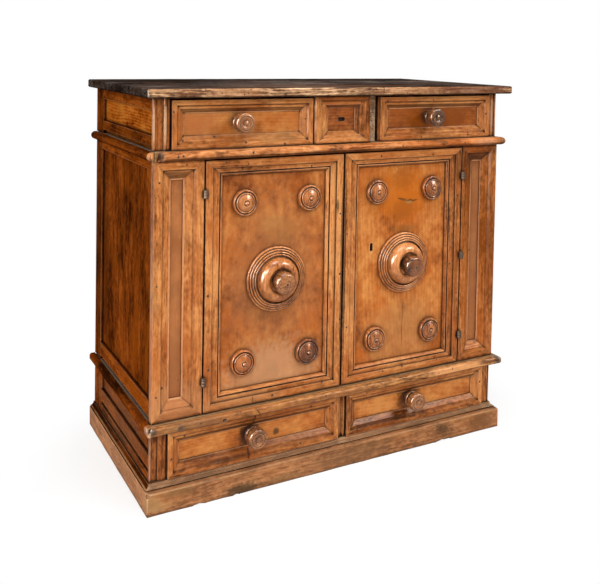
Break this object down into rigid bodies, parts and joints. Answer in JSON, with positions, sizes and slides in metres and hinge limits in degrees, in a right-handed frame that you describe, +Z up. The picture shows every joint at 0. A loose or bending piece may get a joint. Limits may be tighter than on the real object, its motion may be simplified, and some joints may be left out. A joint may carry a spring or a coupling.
{
  "type": "credenza",
  "caption": "Low walnut credenza with panelled doors under frieze drawers, lower drawers, turned bosses, moulded edges and a plinth.",
  "frame": {"origin": "middle of the footprint's bounding box, on the floor under the plinth", "axes": "+Z up, +X to the right seen from the front, the doors face -Y"},
  "size_m": [1.136, 0.594, 1.045],
  "materials": {
    "plinth_walnut": "worn, dull",
    "carcass_poplar": "bare, aged",
    "side_walnut": "waxed, dark",
    "moulding_walnut": "waxed",
    "panel_walnut": "waxed",
    "top_walnut": "waxed, nearly black",
    "turned_walnut": "polished",
    "knob_walnut": "worn, waxed",
    "iron": "forged, dark"
  },
  "bodies": {
    "carcass": {"plinth_front": "plinth_walnut", "plinth_sides": "plinth_walnut", "plinth_back": "plinth_walnut", "base_board": "carcass_poplar", "plinth_cove": "plinth_walnut", "low_sides": "side_walnut", "main_sides": "side_walnut", "frieze_sides": "side_walnut", "floor_board": "carcass_poplar", "waist_board": "carcass_poplar", "lower_moulding": "moulding_walnut", "waist_moulding": "moulding_walnut", "left_side_frame": "side_walnut", "right_side_frame": "side_walnut", "back_boards": "carcass_poplar", "top_board": "top_walnut", "frieze_stiles": "moulding_walnut", "low_stiles": "moulding_walnut", "low_post": "moulding_walnut", "frieze_dividers": "carcass_poplar", "lock_panel": "panel_walnut", "lock_panel_moulding": "moulding_walnut", "frieze_lock_case": "iron", "pilaster_boards": "panel_walnut", "left_pilaster_moulding": "moulding_walnut", "right_pilaster_moulding": "moulding_walnut", "shelf": "carcass_poplar", "shelf_cleats": "carcass_poplar", "fixed_hinges": "iron"},
    "left_door": {"left_door_panel": "panel_walnut", "left_door_moulding": "moulding_walnut", "left_door_rosettes": "turned_walnut", "left_door_boss": "turned_walnut", "left_door_knob": "knob_walnut", "left_door_hinges": "iron"},
    "right_door": {"right_door_panel": "panel_walnut", "right_door_moulding": "moulding_walnut", "right_door_rosettes": "turned_walnut", "right_door_boss": "turned_walnut", "right_door_knob": "knob_walnut", "right_door_hinges": "iron", "right_door_lock_case": "iron"},
    "upper_left_drawer": {"upper_left_drawer_front": "panel_walnut", "upper_left_drawer_moulding": "moulding_walnut", "upper_left_drawer_box": "carcass_poplar", "upper_left_drawer_knob": "knob_walnut"},
    "upper_right_drawer": {"upper_right_drawer_front": "panel_walnut", "upper_right_drawer_moulding": "moulding_walnut", "upper_right_drawer_box": "carcass_poplar", "upper_right_drawer_knob": "knob_walnut"},
    "lower_left_drawer": {"lower_left_drawer_front": "panel_walnut", "lower_left_drawer_moulding": "moulding_walnut", "lower_left_drawer_box": "carcass_poplar", "lower_left_drawer_knob": "knob_walnut"},
    "lower_right_drawer": {"lower_right_drawer_front": "panel_walnut", "lower_right_drawer_moulding": "moulding_walnut", "lower_right_drawer_box": "carcass_poplar", "lower_right_drawer_knob": "knob_walnut"},
    "frieze_bolt": {"frieze_lock_bolt": "iron"},
    "door_bolt": {"right_door_lock_bolt": "iron"}
  },
  "joints": [
    {"name": "left_door_hinge", "type": "hinge", "parent": "carcass", "child": "left_door", "pos_m": [-0.407, -0.25, 0.5415], "axis": [0, 0, -1], "range_deg": [0, 105]},
    {"name": "right_door_hinge", "type": "hinge", "parent": "carcass", "child": "right_door", "pos_m": [0.407, -0.25, 0.5415], "axis": [0, 0, 1], "range_deg": [0, 105]},
    {"name": "upper_left_drawer_slide", "type": "slide", "parent": "carcass", "child": "upper_left_drawer", "axis": [0, -1, 0], "range_m": [0, 0.32]},
    {"name": "upper_right_drawer_slide", "type": "slide", "parent": "carcass", "child": "upper_right_drawer", "axis": [0, -1, 0], "range_m": [0, 0.32]},
    {"name": "lower_left_drawer_slide", "type": "slide", "parent": "carcass", "child": "lower_left_drawer", "axis": [0, -1, 0], "range_m": [0, 0.32]},
    {"name": "lower_right_drawer_slide", "type": "slide", "parent": "carcass", "child": "lower_right_drawer", "axis": [0, -1, 0], "range_m": [0, 0.32]},
    {"name": "frieze_bolt_slide", "type": "slide", "parent": "carcass", "child": "frieze_bolt", "axis": [-1, 0, 0], "range_m": [0, 0.016]},
    {"name": "door_bolt_slide", "type": "slide", "parent": "right_door", "child": "door_bolt", "axis": [-1, 0, 0], "range_m": [0, 0.018]}
  ]
}
